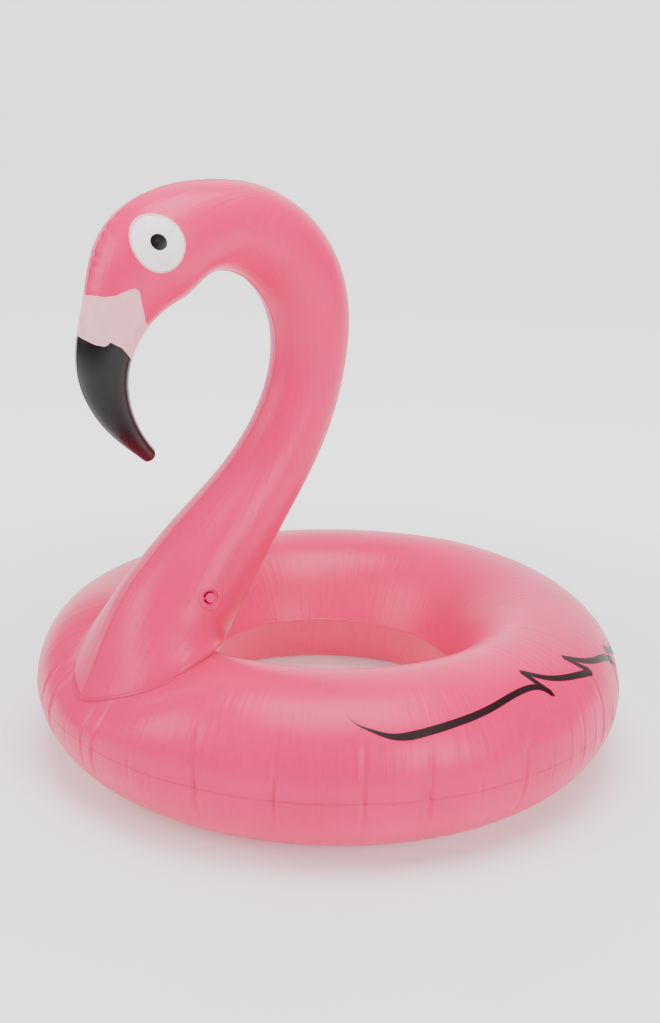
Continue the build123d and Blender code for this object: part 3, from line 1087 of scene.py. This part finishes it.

# %% [markdown]
# ## Floor
# The floor is one pale sheet that curves up far behind the float. It glows more strongly away from
# the float than under it: the strong glow far off makes the sheet read as almost white, and the weak
# glow round the float is a painted shadow.

# %% Floor
depth = np.concatenate([np.linspace(-7, 5, 40), 5 + 2.5 * np.sin(np.linspace(0.05, np.pi / 2, 24))])
climb = np.concatenate([np.zeros(40), 2.5 * (1 - np.cos(np.linspace(0.05, np.pi / 2, 24)))])
depth = np.append(depth, 7.5)
climb = np.append(climb, 12.0)
away = -np.array([np.cos(np.radians(54)), np.sin(np.radians(54))])
aside = np.array([away[1], -away[0]])
wide = np.linspace(-9, 9, 30)
sheet = np.zeros((30, len(depth), 3))
sheet[..., :2] = wide[:, None, None] * aside + depth[None, :, None] * away
sheet[..., 2] = climb
floor = grid_piece("pale_floor", sheet)
floor_material, nodes, links, shader, place = new_material("pale_floor_with_painted_shadow", 0.8)
drift = noise(nodes, links, place, 3.0)
tint = blend_colours(nodes, links, drift, colour(246, 246, 246), colour(250, 250, 250))
links.new(tint, shader.inputs["Base Color"])
shader.inputs["Emission Strength"].default_value = 1.25
# Painted shadow: the floor's glow falls to a quarter of its full strength within 0.6 m of the ring's centre,
# so the floor is darker round the float.
far = nodes.new("ShaderNodeVectorMath")
far.operation = "LENGTH"
links.new(place, far.inputs[0])
glow_with_painted_shadow = nodes.new("ShaderNodeMapRange")
glow_with_painted_shadow.interpolation_type = "SMOOTHSTEP"
glow_with_painted_shadow.inputs["From Min"].default_value = 0.6
glow_with_painted_shadow.inputs["From Max"].default_value = 2.2
glow_with_painted_shadow.inputs["To Min"].default_value = 0.25
links.new(far.outputs["Value"], glow_with_painted_shadow.inputs["Value"])
links.new(glow_with_painted_shadow.outputs[0], shader.inputs["Emission Color"])
floor.data.materials.append(floor_material)
print("floor", len(floor.data.polygons), "faces")

# %% [markdown]
# ## Lights
# Large soft lights stand overhead and to two sides, so that the satin film shows broad highlights
# and no hard shadow. A weak white world fills what they leave.

# %% Lights
world = bpy.data.worlds.new("studio")
bpy.context.scene.world = world
world.use_nodes = True
world.node_tree.nodes["Background"].inputs["Color"].default_value = (1, 1, 1, 1)
world.node_tree.nodes["Background"].inputs["Strength"].default_value = 0.30


def soft_light(name, place, target, size, power):
    """A square area light aimed at a point."""
    light = bpy.data.lights.new(name, "AREA")
    light.size = size
    light.energy = power
    lamp = bpy.data.objects.new(name, light)
    lamp.location = place
    lamp.rotation_euler = (Vector(target) - Vector(place)).to_track_quat("-Z", "Y").to_euler()
    bpy.context.scene.collection.objects.link(lamp)
    return lamp


soft_light("overhead", (0.2, 0.5, 3.4), (0, 0, 0.3), 2.4, 150)
soft_light("left_side", (2.8, -0.8, 1.9), (0.1, 0, 0.5), 1.6, 50)
soft_light("camera_side", (-0.2, 3.4, 1.7), (0, 0, 0.2), 1.6, 62)
print("three lights aimed at the float")

# %% [markdown]
# ## Camera
# The camera stands to the bird's left and in front, looks down a little and is rolled slightly. Its
# distance and height grow with the ring, so the float fills the same share of the view.

# %% Camera
view_turn = np.radians(54)
tilt, roll = 0.2926, 0.0293
camera_data = bpy.data.cameras.new("view")
camera_data.lens = 47.09
camera_data.sensor_width = 36
camera_data.shift_x = -0.0032
camera = bpy.data.objects.new("view", camera_data)
bpy.context.scene.collection.objects.link(camera)
ahead = np.array([-np.cos(view_turn) * np.cos(tilt), -np.sin(view_turn) * np.cos(tilt), -np.sin(tilt)])
level_right = unit(np.cross(ahead, [0, 0, 1]))
level_up = np.cross(level_right, ahead)
camera_right = np.cos(roll) * level_right + np.sin(roll) * level_up
camera_up = np.cos(roll) * level_up - np.sin(roll) * level_right
distance = 4.348 * ring_radius
rise = 2.1055 * ring_radius
stand = distance * np.array([np.cos(view_turn), np.sin(view_turn), 0]) + [0, 0, rise]
frame_of_view = np.eye(4)
frame_of_view[:3, :4] = np.stack([camera_right, camera_up, -ahead, stand], axis=1)
camera.matrix_world = Matrix(frame_of_view.tolist())
bpy.context.scene.camera = camera
print("camera at", stand.round(3))

# %% [markdown]
# ## Last update
# The view layer is brought up to date, so that every piece stands in its place.

# %% Last update
bpy.context.view_layer.update()
